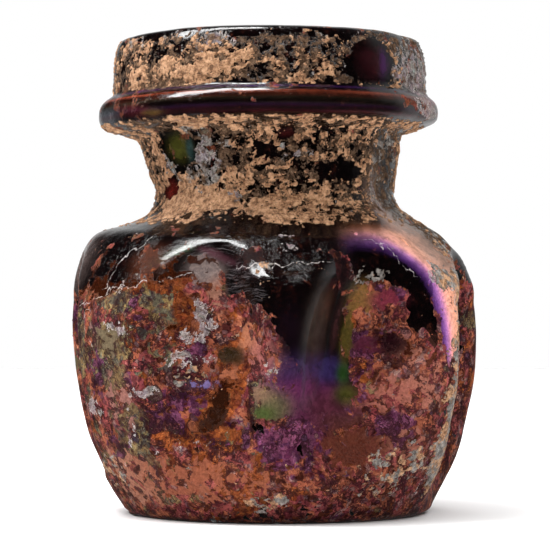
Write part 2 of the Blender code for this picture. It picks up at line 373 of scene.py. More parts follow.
RUST = (
    (-28, 33, 3.6, 3.6, 0.7), (-38, 40, 10, 3.4, 0.95), (-41, 30.5, 2, 3.4, 0.5),
    (-13, 24.5, 3, 5, 0.6, -20), (-18, 17, 3.6, 4, 0.6, -20), (26, 17, 4, 3.4, 0.4), (-24, 12, 8, 4, 0.4),
    (33, 31.5, 4, 1.8, 0.35), (30, 24, 2, 3, 0.45), (-12, 6, 12, 3, 0.25), (112, 24, 8, 6, 0.5, 20),
    (176, 12, 9, 5, 0.5), (222, 27, 6, 8, 0.6, -15), (282, 14, 7, 5, 0.5),
)
# Dark brown stretches where the film has worn thin.
SHADE = (
    (-38, 41.4, 3.2, 2.6, -1.2), (-5, 42, 3, 2.2, -1.2), (22.4, 40.4, 1.9, 3.6, -1.2, 8),
    (-46, 40.6, 4, 2.2, 0.6), (-13.5, 26.8, 2.6, 1.6, 0.75), (-17.6, 18.4, 2.2, 4.6, 0.8, -22),
    (-14.8, 21.8, 1, 3, 0.5, -20), (-36, 41, 11, 3, 0.8), (-50, 38.8, 5, 2.2, 0.9),
    (-29, 33, 2.6, 2.8, 0.38), (-31, 30.8, 1, 1, 0.6), (38.5, 28.6, 2.6, 2.2, 0.85), (23, 26, 3, 5, 0.3),
    (25, 12, 5, 3.4, 0.6), (-30, 9, 3, 2, 0.3), (31.5, 24, 1, 3, 0.45, -10), (106, 16, 5, 3, 0.7, 20),
    (150, 34, 5, 3, 0.7), (184, 21, 3, 6, 0.7, -20), (233, 34, 4, 5, 0.6), (272, 22, 3, 5, 0.7, 10),
    (300, 38, 8, 3, 0.6),
)
# Bare glass dulled by fine scratches.
SCUFFED = (
    (-22, 43.9, 7, 1.5, 0.8), (-10, 41.6, 2, 1.6, 0.5), (-7.5, 37.5, 3.2, 4.2, 0.9),
    (-13, 38, 1.5, 4, 0.4), (8, 43.4, 4, 1, 0.2), (70, 40, 6, 4, 0.4), (140, 42, 12, 4, 0.7),
    (235, 44, 9, 4, 0.7),
)
# Thin earth besides that on the neck and the collar.
THIN_EARTH = ((-40, 70, 8, 4, 0.4), (76, 46.6, 7, 3, 0.5))
# Pale seams along torn film, each a line through points of azimuth and height. How far away their
# sides are told apart, and where they fade out.
SEAMS = (
    ((-66, 34), (-58, 35.6), (-47, 37.4), (-33, 38.6), (-24, 39.6)),
    ((-10, 40.9), (0, 41), (8, 41.6), (15, 41.4)),
    ((-42, 46), (-47, 43.8), (-50, 40.6), (-50.5, 37.6)),
    ((57.5, 38), (57.5, 30), (57, 20), (54.5, 10), (51, 4)),
    ((-63, 36), (-60, 32.6)),
    ((-60.5, 31), (-57.5, 28.4)),
    ((33.5, 44.8), (38.5, 43.9), (42.5, 42), (45, 39.6)),
)
SEAM_REACH = 2.0
SEAM_FADE = (0.8, 1.3)
FAR_FROM_SEAMS = 9.0
# Iridescent film and a few painted highlights and reflections: places with their colours in thousandths.
FILMS_AND_PAINTED_REFLECTIONS = (
    ((4.5, 30, 2.4, 4.6, 0.8), (5, 2, 4)), ((13.5, 32, 2.2, 6, 0.8, -8), (38, 26, 20)),
    ((7, 24.5, 4.6, 2.6, 0.9), (30, 14, 52)), ((10, 20, 6.5, 3.4, 0.95), (100, 16, 70)),
    ((17, 18.6, 5.5, 3.4, 0.9), (70, 16, 26)), ((18, 24.6, 3.4, 2.2, 0.9), (26, 16, 70)),
    ((25.4, 29.5, 1.2, 4.4, 1, -8), (58, 44, 8)), ((23.6, 24, 1.2, 1.6, 1, -8), (16, 44, 9)),
    ((24.5, 20.6, 2.2, 1.6, 0.95), (44, 46, 8)), ((23, 16.4, 4, 1.4, 0.6), (70, 22, 18)),
    ((25.5, 37.6, 1.6, 1.6, 0.8), (30, 36, 24)), ((30, 35.8, 2.6, 2.8, 0.8), (170, 88, 24)),
    ((37, 35.8, 2.6, 1.5, 0.75), (150, 20, 36)), ((21.5, 31.6, 0.7, 4.4, 1, -10), (30, 11, 11)),
    ((39, 28.8, 2.3, 2, 1), (10, 2, 4)), ((25.5, 12, 5.4, 3.4, 1), (90, 23, 14)),
    ((46, 23, 3.4, 5.4, 0.5), (360, 135, 95)), ((36.5, 21, 4, 3, 0.5), (330, 110, 80)),
    ((45, 12, 5, 4, 0.4), (300, 110, 75)), ((120, 20, 8, 6, 0.6, 20), (300, 120, 90)),
    ((180, 33, 6, 3, 0.7), (110, 40, 120)), ((215, 23, 7, 5, 0.6, -20), (260, 130, 90)),
    ((270, 26, 5, 6, 0.6), (90, 80, 40)), ((233, 38, 4, 2.4, 0.7), (80, 30, 120)),
    ((131, 36, 4, 3, 0.7), (40, 70, 40)), ((31.5, 28.2, 2, 1.6, 0.8), (70, 12, 24)),
    ((1, 19, 2.6, 2.4, 0.6), (80, 95, 22)), ((-7, 29.5, 1.8, 2.4, 0.7), (400, 150, 80)),
    # The pale grey-pink one at -20.8 degrees is a painted reflection on the tongue at the left dimple's top.
    ((-22.5, 22.2, 2.6, 0.8, 0.6), (170, 130, 300)), ((-20.8, 40.4, 2.8, 2.2, 0.85), (190, 145, 135)),
    ((-17.6, 36.5, 1.5, 2.8, 0.55), (300, 140, 95)), ((-13.5, 26.8, 2.6, 1.5, 1), (26, 16, 7)),
    ((-17.6, 18.4, 1.7, 4.2, 1, -22), (24, 7, 3)), ((-13.5, 24, 1.8, 1.3, 0.8), (330, 110, 56)),
    ((-2.6, 17.8, 1.6, 1, 1), (50, 74, 18)), ((-45.6, 60.8, 3.6, 2, 1), (54, 54, 9)),
    ((-39, 60.5, 1.2, 2, 0.9), (20, 44, 44)), ((-59, 54, 3.4, 1.6, 1), (100, 10, 7)),
    ((5.9, 62.8, 1.5, 0.6, 0.9), (50, 6, 6)), ((38.5, 74.2, 3, 2.6, 0.8), (26, 5, 7)),
    ((-52, 66.8, 6, 0.8, 0.8, -8), (60, 10, 12)), ((-43, 66.2, 2.6, 0.5, 0.8), (110, 80, 18)),
    ((-72, 66.2, 5, 1.2, 0.8), (90, 100, 110)), ((40, 47.4, 6, 1, 0.8), (170, 60, 30)),
    # Green at -30 and pink at -16.5 degrees: painted fringes of the light's highlight on the left dimple's
    # arched top.
    ((-30, 43.2, 4, 0.7, 0.6, 24), (26, 60, 22)), ((-16.5, 42.6, 3.6, 0.7, 0.6, -24), (110, 36, 50)),
    ((-3.2, 20.8, 1.8, 1.3, 0.6), (230, 140, 80)), ((-49, 29.5, 4, 3, 0.5), (160, 120, 70)),
    ((-52, 7, 7, 5, 0.58, -20), (360, 155, 100)), ((-30, 7.5, 9, 4, 0.5), (290, 90, 50)),
    ((-46, 20, 3.6, 5, 0.45), (300, 130, 105)), ((-3.5, 26.5, 2.4, 3.2, 0.5), (340, 115, 100)),
    ((-12, 6.5, 12, 3.4, 0.44), (300, 95, 50)), ((-38, 41.8, 3.4, 2.6, 0.95), (50, 16, 9)),
    # The grey-brown one at -84 degrees is a painted reflection of the pale backdrop along the left edge.
    ((-84, 41.5, 8, 5.5, 0.8), (130, 92, 85)), ((-5, 42, 3.6, 2.6, 1), (12, 6, 6)),
    ((22.4, 40.4, 2.4, 4.2, 1, 8), (6, 3, 4)),
)
FAINTEST_FILM = 0.02
# Lines of film along the flange: height, half width, amount and colour. The red-orange line at 69 mm
# is a painted reflection that carries the light's highlight on along the flange.
FLANGE_FILM_AND_PAINTED_REFLECTION_BANDS = (
    (69.9, 0.12, 0.5, (60, 15, 110)), (69, 0.2, 0.9, (300, 58, 26)), (67.9, 0.22, 0.4, (50, 36, 20)),
    (66.9, 0.22, 0.4, (30, 10, 36)), (66, 0.26, 0.5, (50, 6, 10)),
)
# Painted reflection of the light on the right, in the iridescent film's colours: bands of colour around
# the arched top of the dimple right of the front: the oval's middle, half width in degrees and half height,
# then measure outwards, amount and colour of each band. They start and end at these azimuths and heights,
# and above the shoulder they show only on the right.
SHEEN_OVAL = (31.0, 27.0, 22.2, 18.3)
SHEEN_SQUARENESS = 2.4
PAINTED_SHEEN_BANDS = (
    (0.89, 0, (60, 20, 100)), (0.93, 0.7, (70, 20, 140)), (0.965, 0.9, (200, 70, 300)),
    (1.01, 1, (460, 180, 480)), (1.05, 1, (860, 340, 460)), (1.09, 1, (1000, 440, 350)),
    (1.2, 1, (880, 400, 260)), (1.36, 0.9, (560, 290, 200)), (1.75, 0.6, (260, 150, 100)),
    (2.1, 0, (100, 60, 40)),
)
SHEEN_LEFT = (20.0, 50.0)
SHEEN_RIGHT = (66.0, 80.0)
SHEEN_FOOT = (0.024, 0.032)
SHEEN_SHOULDER = (0.0463, 0.0478)
SHEEN_SHOULDER_LEFT = (44.0, 54.0)
# Windows of clean glass in the earth. The collar's is violet on its right.
COLLAR_WINDOW = (37, 74.2, 4.2, 3, 1)
WINDOWS = (
    COLLAR_WINDOW, (42, 74.4, 3, 3.2, 0.8), (-45.6, 60.8, 4.6, 2.5, 1), (-59, 54, 4, 1.7, 1),
    (5.9, 62.8, 1.6, 0.7, 1), (30, 57, 6, 1.6, 0.35), (-4, 59.5, 3, 1.6, 0.35),
)
WINDOW_VIOLET = (56, 13, 84)
VIOLET_START = (41.0, 44.5)
COLLAR_FOOT = 0.0705
CRUST = (
    (-56, 72.4, 4, 1.8, 0.5), (-33, 73.6, 7, 2.4, 0.4), (-13, 74, 7, 1.6, 0.36), (-52, 77, 7, 1.6, 0.16),
    (8, 73.4, 6.5, 3, 0.12, 20), (20, 76.2, 6, 2.4, 0.06), (-42, 51.6, 13, 1.9, 1),
    (5, 49.4, 9, 0.9, 0.35), (-4, 77.8, 11, 1.2, -0.3), (-24, 77.6, 6, 1.4, -0.2),
    (37.5, 74.2, 5.6, 3.6, -1.6), (70, 75, 9, 6, -0.3), (-45.6, 61, 7, 5, -0.5),
    (-26, 59.5, 5, 3.4, -0.25), (-28, 55, 9, 2.6, 0.4), (-60, 60, 4, 5, 0.45), (-7, 76, 4, 2, -0.35),
    (18, 76, 5, 2.2, -0.4), (-24, 72.6, 5, 1.8, 0.3), (-34, 64.4, 9, 0.9, 0.4), (20, 63, 14, 1.5, 0.1),
    (-8, 56, 9, 1.4, 0.22), (22, 57, 9, 1.8, -0.3), (8, 51, 12, 1.8, 0.52), (-30, 51, 10, 1.2, 0.2),
    (16, 48.4, 5, 1, 0.55), (-48, 56, 5, 3.4, 0.34), (-6, 72.2, 3, 1.2, -0.7), (-24, 51.6, 4, 1.2, 0.3),
    (56, 54, 6, 5, -0.3),
)
FLANGE_CRUST = (
    (-38, 68, 7, 4, 1), (-118, 68, 12, 4, 1), (160, 68, 16, 4, 1), (76, 68, 7, 4, 0.7),
)
BODY_CRUST = (
    (63, 34.5, 3, 6, 0.96, -10), (64, 23, 3.4, 6.5, 0.92, 6), (61, 10.5, 3.4, 6.5, 0.92, -8),
    (68, 44.5, 3, 3, 0.75, -30), (60, 39.6, 3, 2.6, 0.95), (54.5, 39.3, 2.4, 2.2, 0.95, -40),
    (32.5, 39.8, 4.6, 1.9, 0.66), (-1.5, 40.8, 1, 0.7, 1.05), (-4.4, 34.3, 1.4, 1.3, 0.85),
    (-26, 24.2, 3, 1.5, 1), (-1, 24.6, 1.5, 1.1, 0.95), (-1, 3.6, 4, 1.8, 0.95),
    (39, 8.5, 8, 4.5, 0.74, 20), (54, 22, 1.6, 5, 0.6), (59, 17.5, 2.4, 4.5, 0.8),
    (57, 27.5, 1.6, 3, 0.85), (57.5, 12, 3, 5, 0.8), (115, 40, 6, 5, 0.8), (150, 18, 5, 9, 0.7, 20),
    (205, 42, 9, 3, 0.85), (228, 12, 10, 5, 0.75), (255, 30, 3, 8, 0.7), (-62, 8, 8, 3, 0.65),
    (11, 25, 6.5, 9, -0.6),
)
GREY_ON_NECK = ((-34, 59.5, 8, 5, 1), (62, 56, 8, 9, 0.9))
GREY_ON_BODY = ((32.5, 39.8, 6, 3, 1),)

# Heights between which one cover goes over into the next, from the foot upwards.
FOOT_EDGE = (0.001, 0.004)
BODY_CRUST_FOOT = (0.0006, 0.0014)
BARE_START = (0.0365, 0.0410)
SHADE_START = (0.0365, 0.0415)
PATINA_HEIGHT = 0.043
NECK_CRUST_START = (0.0468, 0.0492)
EARTH_START = (0.0475, 0.0510)
UPPER_SILVER_START = (0.048, 0.052)
UPPER_PART = 0.048
CALM_FLANGE = ((0.0640, 0.0652), (0.0700, 0.0712))
FLANGE = ((0.0648, 0.0660), (0.0698, 0.0708))
CRUSTLESS_FLANGE = ((0.0650, 0.0658), (0.0699, 0.0705))
NECK_CRUST_END = (0.0652, 0.0660)
COLLAR_GREY_START = (0.0755, 0.0775)
LIP_EDGE = (0.0784, 0.0790)
LIP_CRUST_END = (0.0786, 0.0796)
# Azimuths of the dark glass, which has no silver flakes, and of greyer earth on the right.
DARK_GLASS = ((1.0, 4.0), (34.0, 42.0))
COLLAR_GREY_SIDE = (46.0, 60.0)
BODY_GREY_SIDE = (20.0, 45.0)
# Bare glass, silver flakes and earth on the inside and on the underside.
INSIDE_COVER = (0.30, 0.20, 0.62)
UNDERSIDE_COVER = (0.45, 0.20, 0.35)


def from_middle(azimuths, heights, place):
    """Distance from the middle of an oval place, in its own half sizes."""
    azimuth, height, half_width, half_height = place[:4]
    lean = np.radians(place[5]) if len(place) > 5 else 0.0
    across = SPOT_RADIUS * np.radians(turned_from(azimuths, azimuth))
    along = 1000.0 * heights - height
    far_across = (across * np.cos(lean) + along * np.sin(lean)) / half_width
    far_along = (along * np.cos(lean) - across * np.sin(lean)) / half_height
    return np.hypot(far_across, far_along)


def spots(azimuths, heights, places):
    """How much the places cover of each point, added up."""
    total = np.zeros(np.broadcast(azimuths, heights).shape)
    for place in places:
        total += place[4] * (1.0 - stepped(from_middle(azimuths, heights, place), *SPOT_EDGE))
    return total


def torn_places(azimuths, points):
    """Azimuths and heights moved about by noise, which gives what lies there ragged edges."""
    heights = points[..., 2]
    calm = 1.0 - between(heights, *CALM_FLANGE)
    sideways = calm * wandering(points, TORN_SIZE, 4, 41.0, 0.5)
    upwards = calm * wandering(points, TORN_SIZE, 4, 47.0, 0.5)
    return azimuths + TORN_AZIMUTH * sideways, heights + TORN_HEIGHT * upwards


def bare_cover(azimuths, heights):
    """How bare the glass is: most in its upper part, down to a line that swings behind."""
    around = np.radians(azimuths)
    behind = 0.5 - 0.5 * np.cos(around)
    swing = 0.0030 * np.sin(2.0 * around + 0.8) + 0.0022 * np.sin(5.0 * around)
    upper = stepped(heights - behind * swing, *BARE_START)
    bare = 0.13 + 0.65 * upper + 0.05 * np.sin(3.0 * around + 1.0)
    return bare + spots(azimuths, heights, BARE)


def silver_cover(azimuths, heights):
    """Silvery loose film, with none on the flange, in the windows and on the dark glass."""
    silver = 0.10 + spots(azimuths, heights, SILVER)
    silver -= 0.30 * between(azimuths % 360.0, *DARK_GLASS) * (heights < PATINA_HEIGHT)
    silver += 0.10 * stepped(heights, *UPPER_SILVER_START)
    silver -= 0.45 * between(heights, *FLANGE)
    return silver - spots(azimuths, heights, WINDOWS)


def earth_cover(azimuths, heights):
    """Thin earth on the neck and the collar, less so where the film is silvery."""
    flaky = np.clip(spots(azimuths, heights, SILVER), 0.0, 1.0) * (heights > UPPER_PART)
    earth = 0.05 - 0.35 * flaky + 0.46 * stepped(heights, *EARTH_START)
    earth = earth + 0.10 * (1.0 - stepped(heights, *FOOT_EDGE))
    earth -= 0.80 * stepped(heights, *LIP_EDGE) * (np.cos(np.radians(azimuths) + 0.4) > 0.5)
    earth -= 0.60 * between(heights, *FLANGE)
    return earth + spots(azimuths, heights, THIN_EARTH) - 0.8 * spots(azimuths, heights, WINDOWS)


def covers(azimuths, heights):
    """Bare glass, silver, earth; purple, green, rust, scratches; shade and the two seam fields."""
    around = np.radians(azimuths)
    cover = [part(azimuths, heights) for part in (bare_cover, silver_cover, earth_cover)]
    purple = 0.10 + 0.05 * np.sin(2.0 * around - 0.6) + spots(azimuths, heights, PURPLE)
    green = 0.10 + 0.20 * stepped(np.cos(around + 0.9), 0.80, 0.98) - 0.04 * np.sin(around)
    green = green + spots(azimuths, heights, GREEN)
    rust = 0.18 + 0.08 * np.sin(4.0 * around + 2.0) + spots(azimuths, heights, RUST)
    scuffed = np.clip(spots(azimuths, heights, SCUFFED), 0.0, 1.0)
    shade = 0.10 + 0.60 * stepped(heights, *SHADE_START) + spots(azimuths, heights, SHADE)
    fields = (cover, (purple, green, rust, scuffed), (shade, *seam_fields(azimuths, heights)))
    return [np.stack(parts, axis=-1) for parts in fields]


def seam_fields(azimuths, heights):
    """Distance in mm to either side of the nearest seam, and how near it is, from 1 to 0."""
    nearest = np.full(heights.shape, FAR_FROM_SEAMS)
    side = np.full(heights.shape, FAR_FROM_SEAMS)
    for seam in SEAMS:
        for (first_azimuth, first_height), (second_azimuth, second_height) in zip(seam, seam[1:]):
            across = SPOT_RADIUS * np.radians(turned_from(azimuths, first_azimuth))
            along = 1000.0 * heights - first_height
            run = SPOT_RADIUS * np.radians(second_azimuth - first_azimuth)
            rise = second_height - first_height
            length = np.hypot(run, rise)
            share = np.clip((across * run + along * rise) / length ** 2, 0.0, 1.0)
            away = np.hypot(across - share * run, along - share * rise)
            closer = away < nearest
            side = np.where(closer, np.sign(across * rise - along * run) * away, side)
            nearest = np.where(closer, away, nearest)
    return np.clip(side, -SEAM_REACH, SEAM_REACH), 1.0 - stepped(nearest, *SEAM_FADE)


def laid_over(film, amount, colour):
    """More film laid over the film, both as red, green, blue and cover."""
    amount = amount[..., None]
    return film * (1.0 - amount) + amount * colour


def film_of(colour):
    """The colour in shares of 1, and full cover."""
    return np.array((*colour, 1000)) / 1000.0


def painted_sheen_bands(azimuths, heights):
    """Amount and colour of the painted reflection bands around the right dimple's top."""
    middle_azimuth, middle_height, half_width, half_height = SHEEN_OVAL
    across = np.abs(azimuths - middle_azimuth) / half_width
    along = np.abs(1000.0 * heights - middle_height) / half_height
    oval = (across ** SHEEN_SQUARENESS + along ** SHEEN_SQUARENESS) ** (1.0 / SHEEN_SQUARENESS)
    measures, amounts, colours = (np.array(part) for part in zip(*PAINTED_SHEEN_BANDS))
    left_above = stepped(heights, *SHEEN_SHOULDER) * (1.0 - stepped(azimuths, *SHEEN_SHOULDER_LEFT))
    shown = between(azimuths, SHEEN_LEFT, SHEEN_RIGHT) * (1.0 - left_above)
    amount = np.interp(oval, measures, amounts) * shown * stepped(heights, *SHEEN_FOOT)
    bands = [np.interp(oval, measures, colours[:, channel] / 1000.0) for channel in range(3)]
    return amount, np.stack(bands + [np.ones(heights.shape)], axis=-1)


def film_and_painted_sheen_colours(azimuths, heights):
    """Colour and cover of the iridescent film, and how much of it is the sheen, a painted reflection."""
    film = np.zeros(heights.shape + (4,))
    for place, colour in FILMS_AND_PAINTED_REFLECTIONS:
        amount = place[4] * np.exp(-(from_middle(azimuths, heights, place) ** 3))
        film = laid_over(film, amount, film_of(colour))
    sheen, bands = painted_sheen_bands(azimuths, heights)
    film = laid_over(film, sheen, bands)
    for height, half_band, strength, colour in FLANGE_FILM_AND_PAINTED_REFLECTION_BANDS:
        amount = strength * np.exp(-(((1000.0 * heights - height) / half_band) ** 2))
        film = laid_over(film, amount, film_of(colour))
    window = np.exp(-(from_middle(azimuths, heights, COLLAR_WINDOW) ** 4))
    violet = stepped(azimuths % 360.0, *VIOLET_START) * window
    violet = (violet * (heights > COLLAR_FOOT))[..., None]
    film[..., :3] = film[..., :3] * (1.0 - violet) + violet * (np.array(WINDOW_VIOLET) / 1000.0)
    film[..., 3:] = np.maximum(film[..., 3:], violet)
    film[..., :3] /= np.maximum(film[..., 3:], FAINTEST_FILM)
    return np.clip(film, 0.0, 1.0), sheen


# ---------------------------------------------------------------- building materials
def tree_of(values):
    """The node tree of the first socket among the values."""
    return next(value.id_data for value in values if isinstance(value, bpy.types.NodeSocket))


def fill(socket, value):
    """Links the socket to the value, or sets it where the value isn't a socket."""
    if isinstance(value, bpy.types.NodeSocket):
        socket.id_data.links.new(value, socket)
    else:
        socket.default_value = value


def source(tree, kind, **settings):
    """A new node that nothing leads into yet."""
    made = tree.nodes.new(kind)
    for name, value in settings.items():
        setattr(made, name, value)
    return made


def node(kind, inputs, **settings):
    """A new node in the tree that its inputs come from."""
    made = source(tree_of(inputs.values()), kind, **settings)
    for key, value in inputs.items():
        fill(made.inputs[key], value)
    return made


def calc(operation, first, second=0.0, third=0.0):
    """The outcome of one piece of arithmetic."""
    return node("ShaderNodeMath", {0: first, 1: second, 2: third}, operation=operation).outputs[0]


def times(first, *others):
    """The product of the values."""
    for other in others:
        first = calc("MULTIPLY", first, other)
    return first


def most(first, *others):
    """The largest of the values."""
    for other in others:
        first = calc("MAXIMUM", first, other)
    return first


def lift(value, low, high, bottom=0.0, top=1.0):
    """A smooth rise from bottom to top as the value goes from low to high."""
    inputs = {"Value": value, "From Min": low, "From Max": high, "To Min": bottom, "To Max": top}
    return node("ShaderNodeMapRange", inputs, interpolation_type="SMOOTHSTEP").outputs["Result"]


def blend(amount, below, above, way="MIX"):
    """The colour above laid over the colour below, by the amount."""
    tree = tree_of((amount, below, above))
    made = source(tree, "ShaderNodeMix", data_type="RGBA", blend_type=way, clamp_factor=True)
    for key, value in ((0, amount), (6, below), (7, above)):
        fill(made.inputs[key], (*value, 1.0) if isinstance(value, tuple) else value)
    return made.outputs[2]


def ramp(value, stops, steps="LINEAR"):
    """Colours that follow the value, from stops of a place and a colour."""
    made = node("ShaderNodeValToRGB", {0: value})
    made.color_ramp.interpolation = steps
    elements = made.color_ramp.elements
    while len(elements) < len(stops):
        elements.new(0.5)
    for element, (place, colour) in zip(elements, stops):
        element.position = place
        element.color = (*colour, 1.0)
    return made.outputs["Color"]


def in_millimetres(tree):
    """Places on the object in millimetres."""
    places = source(tree, "ShaderNodeTexCoord").outputs["Object"]
    return node("ShaderNodeVectorMath", {0: places, "Scale": 1000.0}, operation="SCALE").outputs[0]


def grain(places, scale, detail=6.0, roughness=0.6, shift=0.0, out="Fac"):
    """Noise around a half, with scale in swells for each millimetre."""
    if shift:
        places = node("ShaderNodeVectorMath", {0: places, 1: (shift, -0.7 * shift, 1.3 * shift)}).outputs[0]
    inputs = {"Vector": places, "Scale": scale, "Detail": detail, "Roughness": roughness}
    return node("ShaderNodeTexNoise", inputs).outputs[out]


def shaken(places, scale, reach, detail=2.0):
    """Places moved about by noise, by up to half the reach in millimetres."""
    colour = grain(places, scale, detail, 0.5, 31.0, "Color")
    centred = node("ShaderNodeVectorMath", {0: colour, 1: (0.5, 0.5, 0.5)}, operation="SUBTRACT")
    grown = node("ShaderNodeVectorMath", {0: centred.outputs[0], "Scale": reach}, operation="SCALE")
    return node("ShaderNodeVectorMath", {0: places, 1: grown.outputs[0]}).outputs[0]


def layer_edge(amount, pattern, swing=1.7):
    """A value that passes a half along the ragged edge of a layer."""
    return calc("MULTIPLY_ADD", calc("SUBTRACT", pattern, 0.5), swing, amount)


def away_from(field, level):
    """How far the field is from the level, to either side."""
    return calc("ABSOLUTE", calc("SUBTRACT", field, level))


def channels(colour):
    """The three channels of a colour."""
    return list(node("ShaderNodeSeparateColor", {0: colour}).outputs)[:3]


def fields_of(places, scale, detail, roughness, shift):
    """Three unrelated fields of noise."""
    return channels(grain(places, scale, detail, roughness, shift, "Color"))


def darkened(colour, share):
    """The colour, dimmed or brightened by the share."""
    grey = node("ShaderNodeCombineColor", {0: share, 1: share, 2: share}).outputs[0]
    return blend(1.0, colour, grey, "MULTIPLY")


def new_material(name):
    """A new material with its tree and its shader."""
    material = bpy.data.materials.new(name)
    material.use_nodes = True
    return material, material.node_tree, material.node_tree.nodes["Principled BSDF"]


def painted(tree, label):
    """The three channels of a colour attribute and its fourth value."""
    colour, fourth = source(tree, "ShaderNodeVertexColor", layer_name=label).outputs
    return (*channels(colour), fourth)


# Kinds of patina: dark, middle and light.
PATINA_TONES = {
    "salmon": ((0.160, 0.040, 0.022), (0.300, 0.084, 0.044), (0.450, 0.165, 0.095)),
    "pink": ((0.110, 0.020, 0.022), (0.245, 0.052, 0.048), (0.400, 0.130, 0.110)),
    "rust": ((0.040, 0.008, 0.002), (0.240, 0.056, 0.012), (0.500, 0.160, 0.044)),
    "purple": ((0.040, 0.009, 0.034), (0.140, 0.034, 0.084), (0.250, 0.094, 0.170)),
    "olive": ((0.066, 0.048, 0.014), (0.190, 0.130, 0.054), (0.330, 0.240, 0.130)),
    "teal": ((0.022, 0.030, 0.022), (0.085, 0.090, 0.060), (0.210, 0.200, 0.155)),
    "brown": ((0.016, 0.004, 0.002), (0.075, 0.018, 0.008), (0.200, 0.060, 0.026)),
    "grey": ((0.110, 0.056, 0.052), (0.210, 0.120, 0.108), (0.350, 0.230, 0.205)),
}
TONE_PLACES = (0.10, 0.50, 0.90)
CELL_TONES = (
    (0.00, (0.060, 0.014, 0.045)), (0.20, (0.130, 0.034, 0.036)), (0.36, (0.050, 0.034, 0.070)),
    (0.50, (0.260, 0.120, 0.120)), (0.62, (0.110, 0.090, 0.042)), (0.74, (0.020, 0.008, 0.010)),
    (0.88, (0.300, 0.105, 0.060)),
)
# Weathering cells: how many for each millimetre, smallest and largest radius in that spacing.
CELLS = ((0.32, 0.14, 0.40), (0.90, 0.14, 0.36))
CELL_WEIGHT = 0.70
BLACK_GLASS = (
    (0.53, (0.0018, 0.0008, 0.0009)), (0.60, (0.0070, 0.0020, 0.0020)), (0.68, (0.0420, 0.0110, 0.0060)),
    (0.78, (0.2200, 0.0650, 0.0200)),
)
# Scratches: how far each set is turned from the level, and how fine it is.
SCRATCHES = ((0.45, 0.9), (-0.75, 1.1), (0.15, 1.4))
SILVER_TONES = (
    (0.30, (0.030, 0.020, 0.020)), (0.42, (0.140, 0.105, 0.105)), (0.53, (0.350, 0.300, 0.292)),
    (0.68, (0.640, 0.585, 0.560)),
)
SILVER_TINTS = (
    (0.36, (1.00, 0.80, 0.84)), (0.46, (0.86, 0.90, 1.00)), (0.54, (1.00, 0.92, 0.86)),
    (0.64, (0.74, 0.96, 0.90)),
)
SOIL_TONES = (
    (0.36, (0.012, 0.007, 0.005)), (0.46, (0.056, 0.031, 0.019)), (0.56, (0.170, 0.102, 0.062)),
    (0.70, (0.420, 0.285, 0.195)),
)
OUTLINE_COLOUR = (0.020, 0.006, 0.008)
SILVER_RIM = 0.040
CELL_SPECKS = (0.012, 0.006, 0.010)
WORN_TINT = (0.09, 0.06, 0.07)
SCRATCH_COLOUR = (0.22, 0.19, 0.20)
SILVER_RIM_COLOUR = (0.66, 0.60, 0.58)
SEAM_COLOUR = (0.60, 0.54, 0.52)
SAND_TONES = (
    (0.34, (0.040, 0.020, 0.012)), (0.43, (0.220, 0.105, 0.052)), (0.50, (0.470, 0.250, 0.132)),
    (0.59, (0.690, 0.400, 0.228)), (0.74, (0.860, 0.600, 0.400)),
)
GREY_CRUST_TONES = (
    (0.30, (0.030, 0.027, 0.026)), (0.48, (0.190, 0.170, 0.155)), (0.60, (0.380, 0.350, 0.320)),
    (0.78, (0.680, 0.650, 0.610)),
)
THIN_CRUST_COLOUR = (0.070, 0.045, 0.032)
PIT_COLOUR = (0.025, 0.017, 0.013)


def flaked(mottle, clouds, patches, islands, islets, hues):
    """Patina as flat flakes, each laid where its field is over a level, and their outlines."""
    tones = {name: ramp(mottle, tuple(zip(TONE_PLACES, shades))) for name, shades in PATINA_TONES.items()}
    olive = blend(lift(patches[1], 0.51, 0.53), tones["olive"], tones["teal"])
    purple_amount, green_amount, rust_amount = hues
    colour = tones["salmon"]
    outlines = []
    for field, level, half_line, weight, tone, way in (
            (clouds[0], 0.505, 0.014, 1.00, tones["pink"], "MIX"),
            (patches[2], 0.560, 0.020, 0.80, tones["grey"], "MIX"),
            (patches[0], 0.575, 0.020, 1.00, tones["brown"], "MIX"),
            (layer_edge(rust_amount, clouds[1], 2.4), 0.50, 0.050, 0.90, tones["rust"], "MIX"),
            (layer_edge(green_amount, clouds[2], 2.4), 0.50, 0.050, 0.90, olive, "MIX"),
            (layer_edge(purple_amount, patches[2], 2.0), 0.50, 0.050, 0.90, tones["purple"], "MIX"),
            (islands[0], 0.570, 0.024, 0.70, (0.40, 0.22, 0.40), "MULTIPLY"),
            (islands[1], 0.575, 0.024, 0.75, (1.45, 1.60, 1.55), "MULTIPLY"),
            (islands[2], 0.585, 0.024, 0.75, (0.36, 0.36, 0.52), "MULTIPLY"),
            (islets[0], 0.610, 0.042, 0.75, (0.30, 0.16, 0.30), "MULTIPLY"),
            (islets[1], 0.600, 0.042, 0.70, (1.50, 1.70, 1.80), "MULTIPLY")):
        inside = lift(field, level - 0.4 * half_line, level + 0.4 * half_line)
        colour = blend(times(inside, weight), colour, tone, way)
        outlines.append(lift(away_from(field, level), 0.35 * half_line, 1.15 * half_line, 0.92, 0.0))
    return colour, most(*outlines), tones["rust"]


